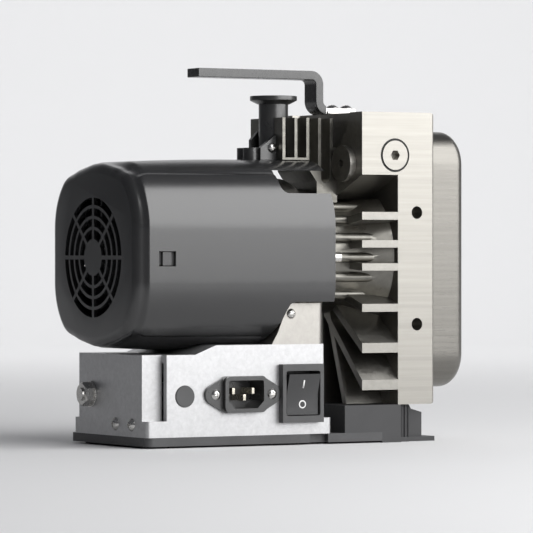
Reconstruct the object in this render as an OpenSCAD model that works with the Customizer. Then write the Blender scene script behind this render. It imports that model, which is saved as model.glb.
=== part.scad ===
// Rotary vane vacuum pump on a power box: motor under a fan cowl on the left,
// finned pump housing and oil case on the right, lifting handle on top.
// Lengths are millimetres. Stations x are measured along the shaft, y = 0 is
// the shaft's vertical plane and z = 0 is the floor.

/* [Overall] */
// Height of the shaft above the floor
axis_z = 117; // [114:0.5:120]
// Half width of the base plate, power box and side frame
half_w = 50.4; // [49:0.1:52]
// Half width of the fan cowl
cowl_half = 58.5; // [57:0.5:60]
// Top of the fan cowl
cowl_top = 178.5; // [177:0.1:178.6]
// Left end of the cowl
cowl_x0 = -96; // [-98:0.5:-94]
// Right end of the oil case
case_x1 = 152.5; // [150:0.5:156]

/* [Power box] */
// Left end of the power box and base plate
box_x0 = -85.6; // [-87:0.1:-84]
// Top of the low part of the box
box_low_z = 57.2; // [56:0.1:57.6]
// Top of the high part of the box
box_high_z = 62.9; // [62:0.1:63]
// How far the box walls stand back behind the front panel
panel_step = 6; // [5:0.5:7]
// Spacing of the two screws of the mains inlet
inlet_pitch = 40; // [39.5:0.1:40.2]
// Station of the mains inlet
inlet_x = -18; // [-20:0.5:-16]
// Height of the mains inlet
inlet_z = 32.4; // [31:0.1:34]
// Angle between the two rest positions of the rocker
rocker_swing = 16; // [12:1:18]

/* [Pump] */
// Radius of the pump chamber
chamber_r = 21.5; // [21:0.1:22]
// Offset of the rotor from the chamber's centre
offset_e = 3; // [2.5:0.1:3]
// Clearance between the rotor and the chamber at the seal line
seal_gap = 0.3; // [0.2:0.05:0.4]
// Radius of the drive shaft
shaft_r = 6; // [5:0.5:6]
// Radial running clearance round the shaft
run_gap = 0.06; // [0.02:0.01:0.1]
// Number of blades on the cooling fan
fan_blades = 9; // [7:1:11]

/* [Frame and case] */
// Left face of the thick side frame
frame_x0 = 95.7; // [95:0.1:96.5]
// Right face of the thick side frame
frame_x1 = 123.3; // [122:0.1:124]
// Left face of the head block and of the horizontal fins
block_x0 = 69; // [68.5:0.1:69.5]
// Bottom of the side frame
frame_z0 = 23.9; // [23.5:0.1:24.2]
// Top of the side frame
frame_z1 = 209; // [208:0.5:210]
// Wall thickness of the oil case
case_wall = 3.5; // [3:0.5:4]

/* [Inlet port and handle] */
// Outer radius of the DN16 port flange
port_flange_r = 15; // [14.5:0.1:15.5]
// Bore radius of the port
port_bore_r = 8; // [7.8:0.1:8.1]
// Station of the port
port_x = 33.8; // [33:0.1:34.5]
// Top of the port flange
port_z1 = 219.6; // [216:0.1:222]
// Top of the handle
handle_z1 = 236; // [234:0.5:238]
// Left tip of the handle
handle_x0 = -25; // [-30:0.1:-20]

/* [Hidden] */
$fn = 64;

mid_x = (cowl_x0 + case_x1) / 2;
eps = 0.01;
gap = 0.1;
pad_h = 1.2;
plate_z0 = pad_h;
plate_z1 = 6.7;
plate_x1 = 84;
flange_z = 16.7;
box_x1 = 44;
panel_x0 = -71.6;
panel_x1 = 38;
ramp_x0 = -51.7;
ramp_x1 = -36.9;
box_back = 38;
switch_x = 23.1;
switch_z = 32.4;
button_x = -58.9;
button_z = 31.7;
ground_y = 22;
ground_z = 31.6;
bore_r = shaft_r + run_gap;
rotor_r = chamber_r - offset_e - seal_gap;
chamber_z = axis_z - offset_e;
pump_x0 = 66;
pump_x1 = 91;
motor_x0 = -56;
motor_x1 = 39;
case_z0 = 33.7;
case_z1 = 198;
case_half = 43;
head_z1 = 205.5;
head_half = 20;
head_x0 = 28.7;
plug_x = 93.5;
plug_z = 181.7;
knob_y = 31.9;
knob_z = 176.4;
handle_hw = 7.3;
bar_half = 5.8;
block_z0 = 169.3;
tower_x0 = 54;
tower_z0 = 154.2;
head_z0 = 178.8;
head_floor_z = 180.2;
port_foot_z1 = 186.4;
bolt_ring_r = 40.2;
duct_x = 80;
duct_y = 8;
duct_r = 2.5;
valve_z0 = 174;
port_duct_y = -6;
port_duct_z = 183.2;
port_duct_r = 2;
port_screw_x = 25.3;

charcoal = [0.16, 0.16, 0.165];
black = [0.08, 0.08, 0.085];
zinc = [0.82, 0.82, 0.84];
nickel = [0.74, 0.72, 0.68];
steel = [0.75, 0.75, 0.74];
copper = [0.72, 0.42, 0.22];
dark_grey = [0.3, 0.3, 0.31];

// ---- placing helpers -------------------------------------------------------

module placed() { translate([-mid_x, 0, 0]) children(); }

module block(lo, hi) { translate(lo) cube(hi - lo); }

module x_rod(x0, x1, r, y = 0, z = axis_z) {
    translate([x0, y, z]) rotate([0, 90, 0]) cylinder(h = x1 - x0, r = r);
}

module y_rod(y0, y1, r, x, z) {
    translate([x, y0, z]) rotate([-90, 0, 0]) cylinder(h = y1 - y0, r = r);
}

module z_rod(z0, z1, r, x, y = 0) { translate([x, y, z0]) cylinder(h = z1 - z0, r = r); }

// Extrudes a (y, z) outline along x
module x_slab(x0, x1) {
    translate([x0, 0, 0]) rotate([90, 0, 90]) linear_extrude(x1 - x0) children();
}

// Extrudes an (x, z) outline along y
module y_slab(y0, y1) {
    translate([0, y1, 0]) rotate([90, 0, 0]) linear_extrude(y1 - y0) children();
}

module z_slab(z0, z1) { translate([0, 0, z0]) linear_extrude(z1 - z0) children(); }

module both_sides() {
    children();
    mirror([0, 1, 0]) children();
}

module round_rect(w, h, r) {
    square([w - 2 * r, h], center = true);
    square([w, h - 2 * r], center = true);
    for (sx = [-1, 1], sy = [-1, 1]) translate([sx * (w / 2 - r), sy * (h / 2 - r)]) circle(r);
}

// Domed screw along +z with its head resting on z = 0 and a cross recess
module dome_screw(head_r, head_h, shank_r, shank_l) {
    ball_r = (head_r * head_r + head_h * head_h) / (2 * head_h);
    difference() {
        union() {
            intersection() {
                translate([0, 0, head_h - ball_r]) sphere(ball_r);
                cylinder(h = head_h, r = head_r);
            }
            translate([0, 0, -shank_l]) cylinder(h = shank_l + head_h / 3, r = shank_r);
        }
        for (a = [0, 90]) rotate(a) translate([-head_r / 2, -head_r / 10, head_h * 0.45])
            cube([head_r, head_r / 5, head_h]);
    }
}

// Socket cap screw along +z with its head resting on z = 0
module cap_screw(head_r, head_h, shank_r, shank_l) {
    difference() {
        union() {
            cylinder(h = head_h, r = head_r);
            translate([0, 0, -shank_l]) cylinder(h = shank_l + eps, r = shank_r);
        }
        translate([0, 0, head_h / 2]) cylinder(h = head_h, r = head_r * 0.5, $fn = 6);
    }
}

module face_left(x, y, z) { translate([x, y, z]) rotate([0, -90, 0]) children(); }

module face_right(x, y, z) { translate([x, y, z]) rotate([0, 90, 0]) children(); }

module face_front(x, y, z) { translate([x, y, z]) rotate([90, 0, 0]) children(); }

// ---- base and foot ---------------------------------------------------------

module base_plate() placed() color(dark_grey) difference() {
    union() {
        z_slab(plate_z0, plate_z1) translate([(box_x0 + plate_x1) / 2, 0])
            round_rect(plate_x1 - box_x0, 2 * half_w, 5);
        block([plate_x1 - 8, -half_w, plate_z0], [plate_x1, half_w, plate_z1]);
    }
    both_sides() block([30.7, -half_w - 1, 0], [44, 4 - half_w, plate_z1 + 1]);
}

pad_spots = [[-72, -38], [-72, 38], [20, -38], [20, 38], [74, 0]];

module rubber_pads() placed() color(black)
    for (p = pad_spots) z_rod(0, plate_z0, 8, p[0], p[1]);

module pump_foot() placed() color(black) {
    upper_x0 = 56.3;
    front_x1 = 98;
    flute_x1 = 106;
    rear_x1 = 120;
    toe_x1 = 127.3;
    difference() {
        union() {
            block([upper_x0, -half_w, plate_z1], [front_x1, half_w, frame_z0]);
            block([plate_x1, -half_w, 0], [front_x1, half_w, plate_z1 + 1]);
            block([front_x1 - 1, -47, 0], [flute_x1, 47, frame_z0 - 0.6]);
            y_slab(-40, 40) polygon([[flute_x1 - 1, 0], [rear_x1, 0], [rear_x1, 18.3],
                [flute_x1 + 6, 20.6], [flute_x1 + 4, frame_z0], [flute_x1 - 1, frame_z0]]);
            block([front_x1, -44, 0], [toe_x1, 44, 3]);
        }
        both_sides() for (i = [0:2]) z_rod(3, 30, 1.1, front_x1 + 1.4 + 2.6 * i, -47.2);
        block([upper_x0 + 6, -44, plate_z1 - 1], [front_x1 - 6, 44, 18]);
    }
}

// ---- power box -------------------------------------------------------------

module box_outline(x0, x1) polygon([[x0, flange_z - 2], [x1, flange_z - 2],
    [x1, box_high_z], [ramp_x1, box_high_z], [ramp_x0, box_low_z], [x0, box_low_z]]);

module inlet_hole_outline() square([27.4, 20.4], center = true);

module power_box() placed() color(zinc) difference() {
    union() {
        z_slab(plate_z1, flange_z)
            translate([(box_x0 + 46.6) / 2, (45 - half_w) / 2])
                round_rect(46.6 - box_x0, half_w + 45, 2.5);
        y_slab(panel_step - half_w, box_back) box_outline(box_x0, box_x1);
        y_slab(-half_w, panel_step - half_w + 1) box_outline(panel_x0, panel_x1);
    }
    y_slab(4 - half_w, box_back - 4) polygon([[box_x0 + 14, 0], [box_x1 - 10, 0],
        [box_x1 - 10, box_high_z - 5], [ramp_x1, box_high_z - 5],
        [ramp_x0, box_low_z - 5], [box_x0 + 14, box_low_z - 5]]);
    y_slab(panel_step + 4 - half_w, box_back - 4) polygon([[box_x0 + 4, 0], [box_x1 - 4, 0],
        [box_x1 - 4, box_high_z - 5], [box_x0 + 4, box_low_z - 5]]);
    translate([0, -half_w - 1, 0]) y_slab(0, 12) translate([inlet_x, inlet_z])
        inlet_hole_outline();
    for (s = [-1, 1]) y_rod(-half_w - 1, -half_w + 5, 1.6, inlet_x + s * inlet_pitch / 2, inlet_z);
    block([switch_x - 13.6, -half_w - 1, switch_z - 16.5], [switch_x + 13.6, -half_w + 12, switch_z + 16.5]);
    y_rod(-half_w - 1, -half_w + 12, 6.85, button_x, button_z);
    x_rod(box_x0 - 1, box_x0 + 12, 4.1, ground_y, ground_z);
    for (y = [-10.3, -31]) x_rod(box_x0 - 1, box_x0 + 9, 2.1, y, 14.2);
}

module lozenge_outline() {
    polygon([[-13, -11.3], [13, -11.3], [25, -4.6], [25, 4.6], [13, 11.3], [-13, 11.3],
        [-23.6, 5.8], [-23.6, -5.8]]);
    translate([-20.9, 0]) circle(6.4);
    translate([20.5, 0]) circle(5.5);
    round_rect(32, 22.6, 3);
}

socket_depth = 17;
rim_y = -half_w - 5;

module mains_inlet() placed() color(black) difference() {
    union() {
        y_slab(-half_w - 2, -half_w) translate([inlet_x, inlet_z]) lozenge_outline();
        y_slab(rim_y, -half_w) translate([inlet_x, inlet_z]) round_rect(30, 22.4, 4);
        y_slab(-half_w - 1, -half_w + 20) translate([inlet_x, inlet_z]) square([27.2, 20.2], center = true);
    }
    y_slab(rim_y - 1, rim_y + socket_depth) translate([inlet_x, inlet_z]) difference() {
        round_rect(25, 17.4, 1.5);
        for (s = [-1, 1]) translate([s * 12.5, -8.7]) rotate(45) square(6.5, center = true);
    }
    for (s = [-1, 1]) y_rod(-half_w - 3, -half_w + 1, 1.7, inlet_x + s * inlet_pitch / 2, inlet_z);
    for (p = [[-7, 2], [7, 2], [0, -2]])
        block([inlet_x + p[0] - 1, rim_y + socket_depth - 1, inlet_z + p[1] - 2],
            [inlet_x + p[0] + 1, -half_w + 21, inlet_z + p[1] + 2]);
}

module inlet_pins() placed() color(steel)
    for (p = [[-7, 2], [7, 2], [0, -2]])
        block([inlet_x + p[0] - 1, rim_y + (p[0] == 0 ? 2.5 : 4), inlet_z + p[1] - 2],
            [inlet_x + p[0] + 1, -half_w + 25, inlet_z + p[1] + 2]);

module inlet_screws() placed() color(steel)
    for (s = [-1, 1]) face_front(inlet_x + s * inlet_pitch / 2, -half_w - 2, inlet_z)
        dome_screw(3.3, 1.9, 1.5, 6);

// The rocker's pocket is open at the front; the body stands behind the panel
module switch_housing() placed() color(dark_grey) difference() {
    union() {
        block([switch_x - 14.8, -half_w - 4.8, switch_z - 18.2], [switch_x + 14.8, -half_w, switch_z + 18.2]);
        block([switch_x - 13.5, -half_w - 1, switch_z - 16.3], [switch_x + 13.5, -half_w + 22, switch_z + 16.3]);
    }
    y_slab(-half_w - 6, -half_w + 7) translate([switch_x, switch_z]) round_rect(24.6, 28, 1.5);
    x_rod(switch_x - 13.2, switch_x + 13.2, 1.3, -half_w, switch_z);
}

module switch_rocker() placed() color(charcoal)
    translate([0, -half_w, switch_z]) rotate([rocker_swing / 2, 0, 0]) {
        x_slab(switch_x - 11.2, switch_x + 11.2)
            polygon([[-5.2, 12.8], [-3.3, 0], [-5.2, -12.8], [1.2, -12.4], [4.6, -4], [4.6, 4],
                [1.2, 12.4]]);
        x_rod(switch_x - 13, switch_x + 13, 1.2, 0, 0);
    }

module reset_housing() placed() color(black) difference() {
    union() {
        y_rod(-half_w, -half_w + 6, 6.75, button_x, button_z);
        block([button_x - 8, -half_w + 4.5, button_z - 8], [button_x + 8, -half_w + 34, button_z + 8]);
    }
    y_rod(-half_w - 1, -half_w + 14, 6.3, button_x, button_z);
}

module reset_button() placed() color(dark_grey)
    y_rod(-half_w - 0.4, -half_w + 12, 6.24, button_x, button_z);

module ground_bolt() placed() color(steel) {
    face_left(box_x0 - 1.2, ground_y, ground_z) difference() {
        cylinder(h = 5.8, r = 7.5, $fn = 6);
        translate([0, 0, 4.6]) difference() {
            cylinder(h = 3, r = 12);
            translate([0, 0, -eps]) cylinder(h = 3.2, r1 = 7.6, r2 = 4.8);
        }
    }
    x_rod(box_x0 - 2, box_x0 + 14, 4, ground_y, ground_z);
    x_rod(box_x0 - 8.2, box_x0 - 7, 4, ground_y, ground_z);
}

module ground_washer() placed() color(steel) difference() {
    x_rod(box_x0 - 1.2, box_x0, 8.2, ground_y, ground_z);
    x_rod(box_x0 - 2, box_x0 + 1, 4.1, ground_y, ground_z);
}

module end_screws() placed() color(steel)
    for (y = [-10.3, -31]) face_left(box_x0, y, 14.2) dome_screw(4.1, 2.4, 2, 8);

module run_capacitor() placed() color(black) {
    x_rod(-66, -20, 13, 14, 31);
    x_rod(-20 - eps, -17, 3, 9, 31);
    x_rod(-20 - eps, -17, 3, 19, 31);
    block([-58, 6, plate_z1], [-28, 22, 24]);
}

module control_board() placed() color([0.1, 0.3, 0.15]) {
    block([-14, -14, 9], [36, 30, 10.6]);
    block([-8, 14, 10.6 - eps], [28, 26, 24]);
    block([0, -10, 10.6 - eps], [16, 4, 22]);
    block([22, -10, 10.6 - eps], [30, 6, 18]);
    for (x = [-10, 32], y = [-10, 26]) z_rod(plate_z1, 9 + eps, 2.5, x, y);
}

// ---- motor -----------------------------------------------------------------

screw_x = 17;
screw_z = 82;

module motor_outline(half, r) translate([0, axis_z]) round_rect(2 * half, 2 * half, r);

module motor_bracket() placed() color(steel) difference() {
    intersection() {
        y_slab(-half_w, half_w) difference() {
            union() {
                polygon([[3, box_high_z], [42, box_high_z], [42, 88.5], [16.5, 88.5],
                    [12.5, 84.5], [10.6, 78], [7.5, 70.5]]);
                translate([16.5, 84.5]) circle(4);
            }
            translate([-3.4, 74.5]) circle(11.5);
        }
        z_slab(0, 100) bracket_plan();
    }
    x_slab(-10, 60) motor_outline(50.1, 42);
    both_sides() y_rod(-half_w - 1, -30, 1.6, screw_x, screw_z);
}

// Plan outline of the bracket with rounded right corners
module bracket_plan() {
    translate([12, 0]) round_rect(60, 2 * half_w, 6);
    translate([-5, 0]) square([60, 2 * half_w], center = true);
}

module bracket_screws() placed() color(steel)
    both_sides() face_front(screw_x, -half_w, screw_z) dome_screw(3.2, 2.2, 1.5, 8);

module motor_housing() placed() color(steel) difference() {
    union() {
        x_slab(motor_x0, motor_x1 - 8) motor_outline(50, 42);
        hull() {
            x_slab(motor_x1 - 9, motor_x1 - 8) motor_outline(50, 42, $fn = 48);
            x_slab(motor_x1 - 8, motor_x1 - 5) motor_outline(48.9, 41.5, $fn = 48);
            x_slab(motor_x1 - 4, motor_x1 - 2) motor_outline(46.6, 41, $fn = 48);
            x_slab(motor_x1 - 1, motor_x1) motor_outline(42.5, 38, $fn = 48);
        }
    }
    x_rod(motor_x0 - 1, motor_x1 - 7, 44);
    x_rod(motor_x1 - 8, motor_x1 + 1, 14);
}

module stator_core() placed() color(dark_grey) difference() {
    x_rod(-40, 10, 43.95);
    x_rod(-41, 11, 26);
    for (a = [0:15:345]) translate([0, 0, axis_z]) rotate([a, 0, 0])
        block([-41, -1, 25], [11, 1, 36]);
}

module stator_windings() placed() color(copper)
    for (x = [-53, 10.4]) difference() {
        x_rod(x, x + 12.6, 39);
        x_rod(x - 1, x + 14, 28);
    }

module rear_end_shield() placed() color(steel) difference() {
    union() {
        x_slab(motor_x0 - 5, motor_x0) motor_outline(50, 42);
        x_rod(motor_x0 - 5 + eps, motor_x0 + 2.6, 43.9);
        x_rod(motor_x0 - 12, motor_x0, 18);
    }
    x_rod(motor_x0 - 13, motor_x0 - 8, 12.05);
    x_rod(motor_x0 - 9, motor_x0 + 4, 9);
    x_rod(motor_x0 - 4, motor_x0 + 4, 38);
}

module bearing_ring(x) difference() {
    x_rod(x, x + 8, 13.9);
    x_rod(x - 1, x + 9, bore_r);
}

module shaft_bearings() placed() color(steel) {
    bearing_ring(motor_x1 - 7.5);
    difference() {
        x_rod(motor_x0 - 16, motor_x0 - 8.1, 12);
        x_rod(motor_x0 - 17, motor_x0 - 8, bore_r);
    }
    difference() {
        x_rod(52, 60, 13.95);
        x_rod(51, 61, bore_r);
    }
}

module drive_shaft() placed() color(steel) difference() {
    x_rod(-88, 94, shaft_r);
    x_rod(-89, -84, 2);
}

module motor_rotor() placed() color(dark_grey) difference() {
    union() {
        x_rod(-40, 10, 25.5);
        for (x = [-44, 10 - eps]) x_rod(x, x + 4 + eps, 24);
    }
    x_rod(-50, 20, shaft_r);
}

module cooling_fan() placed() color(charcoal) difference() {
    union() {
        x_rod(-88, -74, 12);
        x_rod(-76, -74, 44);
        for (i = [0:fan_blades - 1]) translate([0, 0, axis_z]) rotate([i * 360 / fan_blades, 0, 0])
            block([-90, -1, 10], [-75, 1, 44]);
    }
    x_rod(-91, -70, shaft_r);
}

// ---- fan cowl --------------------------------------------------------------

cowl_wall = 2.6;
cowl_corner = 49.5;
cowl_z0 = 58.5;
cowl_x1 = 48;
tongue_x1 = 44.5;
window_x0 = 9.5;
window_z0 = 157;
window_z1 = 171.6;

// Nose profile: distance from the left end, how far the outline stands back
nose = [[0, 11], [0.8, 7], [2.8, 4], [5.4, 2], [8, 0.7], [10, 0]];
nose_l = 10;

module cowl_section(x0, x1, back) x_slab(x0, x1) translate([0, (cowl_z0 + cowl_top) / 2])
    round_rect(2 * (cowl_half - back), cowl_top - cowl_z0 - 2 * back, cowl_corner - back);

module cowl_solid(inset) {
    hull() for (p = nose) {
        x = cowl_x0 + inset + p[0];
        cowl_section(x, x + 0.2, inset + p[1], $fn = 48);
    }
    cowl_section(cowl_x0 + inset + nose_l, cowl_x1 + inset, inset);
}

grille_rings = [[11.5, 17.2], [19.2, 23.9], [25.9, 30.6], [32.6, 37.2]];
spoke_w = 2.5;

module grille_slots() difference() {
    for (g = grille_rings) difference() {
        x_rod(cowl_x0 - 1, cowl_x0 + 8, g[1]);
        x_rod(cowl_x0 - 2, cowl_x0 + 9, g[0]);
    }
    for (a = [0:45:135]) translate([0, 0, axis_z]) rotate([a, 0, 0])
        block([cowl_x0 - 3, -spoke_w / 2, -60], [cowl_x0 + 10, spoke_w / 2, 60]);
}

module fan_cowl() placed() color(charcoal) difference() {
    cowl_solid(0);
    cowl_solid(cowl_wall);
    grille_slots();
    // shoulder window, open to the right, with one rounded corner
    y_slab(-80, 80) {
        translate([window_x0 + 5, window_z0 + 5]) circle(5);
        polygon([[window_x0, window_z0 + 5], [window_x0 + 5, window_z0], [80, window_z0],
            [80, window_z1], [window_x0, window_z1]]);
    }
    block([tongue_x1, -80, 40], [80, 80, window_z0 + 1]);
    // lower edge that clears the box and the bracket
    y_slab(-80, 80) polygon([[ramp_x0 - 3, 40], [ramp_x0 - 3, box_low_z + 0.4],
        [ramp_x1 - 3, box_high_z + 0.5], [2.4, box_high_z + 0.5], [6.2, 69.5], [9.4, 77],
        [11.4, 84], [13.2, 88], [16.5, 89.4], [80, 89.4], [80, 40]]);
    both_sides() block([-81.4, -70, 111.6], [-69.6, -40, 120.8]);
}

module cowl_clips() placed() color(black) both_sides() {
    block([-78.5, -cowl_half + 0.6, 112], [-72.5, -55.7, 120.4]);
    block([-80.8, -cowl_half + cowl_wall + gap, 112], [-56 - 6, -54, 120.4]);
    block([-64, -54.2, 112], [motor_x0 - 5 - gap, -46, 120.4]);
}

// Soft pads between the motor and the cowl's shoulders
module cowl_pads() placed() color(black) intersection() {
    x_slab(-2, 19) difference() {
        motor_outline(53, 45);
        motor_outline(50.05, 42.05);
    }
    both_sides() block([-3, 24, 150], [20, 60, 180]);
}

// ---- finned housing and pump stage -----------------------------------------

// Front fins: height of the tip, slope towards the shaft, tip thickness
fins = [[143.3, -0.16, 4.9], [125.6, -0.05, 4.7], [111, 0.06, 4.6], [85.2, 0.33, 5],
    [59.9, 0.75, 6.2], [36.5, 1, 6.3]];

module front_fin(f) x_slab(block_x0, frame_x0)
    polygon([[-half_w, f[0] - f[2] / 2], [-half_w, f[0] + f[2] / 2],
        [-4, f[0] + f[2] / 2 + f[1] * (half_w - 4)],
        [-4, f[0] - f[2] / 2 + f[1] * (half_w - 4)]]);

module low_fin() x_slab(block_x0, frame_x0)
    polygon([[-31.5, frame_z0 + 0.3], [-27, frame_z0 + 0.3], [-4, 90], [-8.5, 90]]);

rib_angles = [-58.2, -38.8, -19.4, 0, 19.4, 38.8];

// The rib at half height stops short of the bolt beside it
module axial_rib(a) translate([0, 0, axis_z]) rotate([a, 0, 0]) translate([0, 0, -axis_z])
    x_rod(a == 0 ? 59.4 : 49, 84, 3.2, -37.5);

module housing_core() {
    x_rod(motor_x1, 50, 44);
    x_rod(50 - eps, frame_x0, 36);
    translate([74, 0, axis_z]) rotate([0, 90, 0]) cylinder(h = frame_x0 - 74, r1 = 36, r2 = 46);
}

module finned_housing() placed() color(nickel) difference() {
    union() {
        housing_core();
        both_sides() for (a = rib_angles) axial_rib(a);
        block([tower_x0, -head_half, 140], [block_x0, head_half, tower_z0 - gap]);
    }
    block([block_x0, -half_w, tower_z0 - gap], [frame_x0 + 1, half_w, 200]);
    x_rod(motor_x1 - 1, 60.1, 14);
    x_rod(60, pump_x0 + 1, 10);
    x_rod(pump_x0, frame_x0 + 1, 30);
    for (a = [0:90:270]) translate([0, 0, axis_z]) rotate([a, 0, 0])
        x_rod(motor_x1 - 1, 51, 2.1, -bolt_ring_r, 0);
    difference() {
        bolt_clearance();
        x_rod(40, 50, 50);
    }
    for (s = [-1, 1]) z_rod(axis_z, 180, duct_r, duct_x, s * duct_y);
}

// Fins on both flanks and under the housing, cut to the shape of its core
module housing_fins() placed() color(nickel) difference() {
    union() {
        both_sides() {
            for (f = fins) front_fin(f);
            low_fin();
        }
        block([block_x0, -2.4, frame_z0 + 0.3], [frame_x0, 2.4, 90]);
    }
    housing_core();
    both_sides() for (a = rib_angles) axial_rib(a);
}

// Room for the head of the top housing bolt
module bolt_clearance() x_rod(48, 59, 3.8, 0, axis_z + bolt_ring_r);

module housing_bolts() placed() color(steel)
    for (a = [0:90:270]) translate([0, 0, axis_z]) rotate([a, 0, 0])
        face_right(50, -bolt_ring_r, 0) cap_screw(3.4, 8.3, 2, 10.5);

module shaft_seal() placed() color(black) difference() {
    x_rod(60.4, 65.8, 9.9);
    x_rod(60, 66, bore_r);
}

module pump_cylinder() placed() color(steel) difference() {
    x_rod(pump_x0, pump_x1, 29.95);
    x_rod(pump_x0 - 1, pump_x1 + 1, chamber_r, 0, chamber_z);
    for (s = [-1, 1]) z_rod(chamber_z, axis_z + 40, duct_r, duct_x, s * duct_y);
}

module pump_end_plate() placed() color(steel) difference() {
    x_rod(pump_x1 + 0.02, frame_x0 - 0.3, 29.95);
    x_rod(pump_x1 - 1, frame_x0 + 1, bore_r);
}

vane_t = 3;
slot_r = 7.6;

module pump_rotor() placed() color(nickel) difference() {
    x_rod(pump_x0 + 0.1, pump_x1 - 0.1, rotor_r);
    x_rod(pump_x0 - 1, pump_x1 + 1, shaft_r);
    both_sides() block([pump_x0 - 1, -rotor_r - 1, axis_z - vane_t / 2],
        [pump_x1 + 1, -slot_r, axis_z + vane_t / 2]);
}

module vane() block([pump_x0 + 0.15, -rotor_r, axis_z - vane_t / 2 + 0.04],
    [pump_x1 - 0.15, -slot_r - 0.2, axis_z + vane_t / 2 - 0.04]);

module front_vane() placed() color(black) vane();

module rear_vane() placed() color(black) mirror([0, 1, 0]) vane();

// ---- side frame and head ---------------------------------------------------

edge_r = 3.5;
handle_screw_x = [77.6, 88];
screw_spots = [for (z = [55, 115, 175], y = [-25.5, 25.5]) [y, z]];

// Side view: thick plate on the right, head block on the upper left
module frame_outline() {
    polygon([[frame_x0, frame_z0], [frame_x1 - edge_r, frame_z0], [frame_x1 - edge_r, frame_z0 + edge_r],
        [frame_x1, frame_z0 + edge_r], [frame_x1, frame_z1 - edge_r],
        [frame_x1 - edge_r, frame_z1 - edge_r], [frame_x1 - edge_r, frame_z1],
        [block_x0, frame_z1], [block_x0, block_z0], [frame_x0, block_z0]]);
    for (z = [frame_z0 + edge_r, frame_z1 - edge_r]) translate([frame_x1 - edge_r, z]) circle(edge_r);
}

// Plan of the side frame, with its right corners rounded
module frame_plan() translate([frame_x1 - 40, 0]) round_rect(80, 2 * half_w, 2.4);

module frame_hole(x, z, r, deep) y_rod(-half_w - 1, deep - half_w, r, x, z);

module side_frame() placed() color(nickel) difference() {
    union() {
        intersection() {
            y_slab(-half_w, half_w) frame_outline();
            z_slab(0, frame_z1 + 1) frame_plan();
        }
        // web that carries the head down to the pump housing
        x_slab(block_x0, frame_x0 + 1) polygon([[-half_w, block_z0 + eps], [-15, tower_z0],
            [15, tower_z0], [half_w, block_z0 + eps]]);
    }
    // cooling pocket in the left face, between the knob bosses
    x_slab(block_x0 - 1, block_x0 + 6) polygon([[-36.5, 220], [-35.2, 206.9], [-32, 199.1],
        [-24.1, 189], [24.1, 189], [32, 199.1], [35.2, 206.9], [36.5, 220]]);
    x_rod(frame_x0 - 1, frame_x1 + 1, 14);
    frame_hole(109.9, 145.5, 4, 20);
    frame_hole(109.9, 74.6, 4, 20);
    y_rod(-half_w - 1, 9 - half_w, 10.7, plug_x, plug_z);
    y_rod(7 - half_w, 20 - half_w, 8.3, plug_x, plug_z);
    y_rod(half_w - 20, half_w + 1, 8.3, plug_x, plug_z);
    both_sides() x_rod(block_x0 - 1, block_x0 + 16, 5.1, -knob_y, knob_z);
    for (s = screw_spots) x_rod(frame_x1 - 17, frame_x1 + 1, 2.6, s[0], s[1]);
    gasket_groove();
    for (x = handle_screw_x) z_rod(198, 220, 1.6, x);
    // intake duct, exhaust duct with its valve chamber, and the way to the exhaust port
    x_rod(block_x0 - 1, duct_x, port_duct_r, port_duct_y, port_duct_z);
    z_rod(tower_z0 - 1, port_duct_z + port_duct_r, duct_r, duct_x, -duct_y);
    z_rod(tower_z0 - 1, valve_z0 + 1, duct_r, duct_x, duct_y);
    z_rod(valve_z0, valve_z0 + 11, 6, duct_x, duct_y);
    x_rod(duct_x, frame_x1 + 1, 2.5, duct_y, valve_z0 + 8);
    x_rod(plug_x, frame_x1 + 1, 3, 33, plug_z);
}

module gasket_groove() difference() {
    x_slab(frame_x1 - 1, frame_x1 + 1) translate([0, (case_z0 + case_z1) / 2]) round_rect(84, 162, 20.5);
    x_slab(frame_x1 - 2, frame_x1 + 2) translate([0, (case_z0 + case_z1) / 2]) round_rect(80.6, 158.6, 18.8);
}

module case_gasket() placed() color(black) difference() {
    x_slab(frame_x1 - 1, frame_x1) translate([0, (case_z0 + case_z1) / 2]) round_rect(84, 162, 20.5);
    x_slab(frame_x1 - 2, frame_x1 + 2) translate([0, (case_z0 + case_z1) / 2]) round_rect(80.6, 158.6, 18.8);
}

module front_plug() placed() color(nickel) difference() {
    union() {
        y_rod(-half_w - 0.3, 8 - half_w, 9.3, plug_x, plug_z);
        y_rod(8 - half_w - eps, 18 - half_w, 8.2, plug_x, plug_z);
    }
    y_rod(-half_w - 1, 5 - half_w, 3.4, plug_x, plug_z, $fn = 6);
}

module plug_seal() placed() color(black) difference() {
    y_rod(0.5 - half_w, 3 - half_w, 10.65, plug_x, plug_z);
    y_rod(-half_w, 4 - half_w, 9.35, plug_x, plug_z);
}

module ballast_knob() placed() color(nickel) difference() {
    union() {
        x_rod(64.6, block_x0 - gap, 11.55, -knob_y, knob_z);
        x_rod(64.6 + eps, block_x0 + 14, 5, -knob_y, knob_z);
    }
    face_left(68, -knob_y, knob_z) cylinder(h = 6, r = 2.8, $fn = 6);
}

// Valve head left of the side frame, with upright cooling fins on both sides
groove_x = [[30.8, 37.6], [39.6, 46.3], [48.4, 55], [57.2, 63.6]];
groove_z = [head_floor_z, head_floor_z, 172.5, 164.2];

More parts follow.
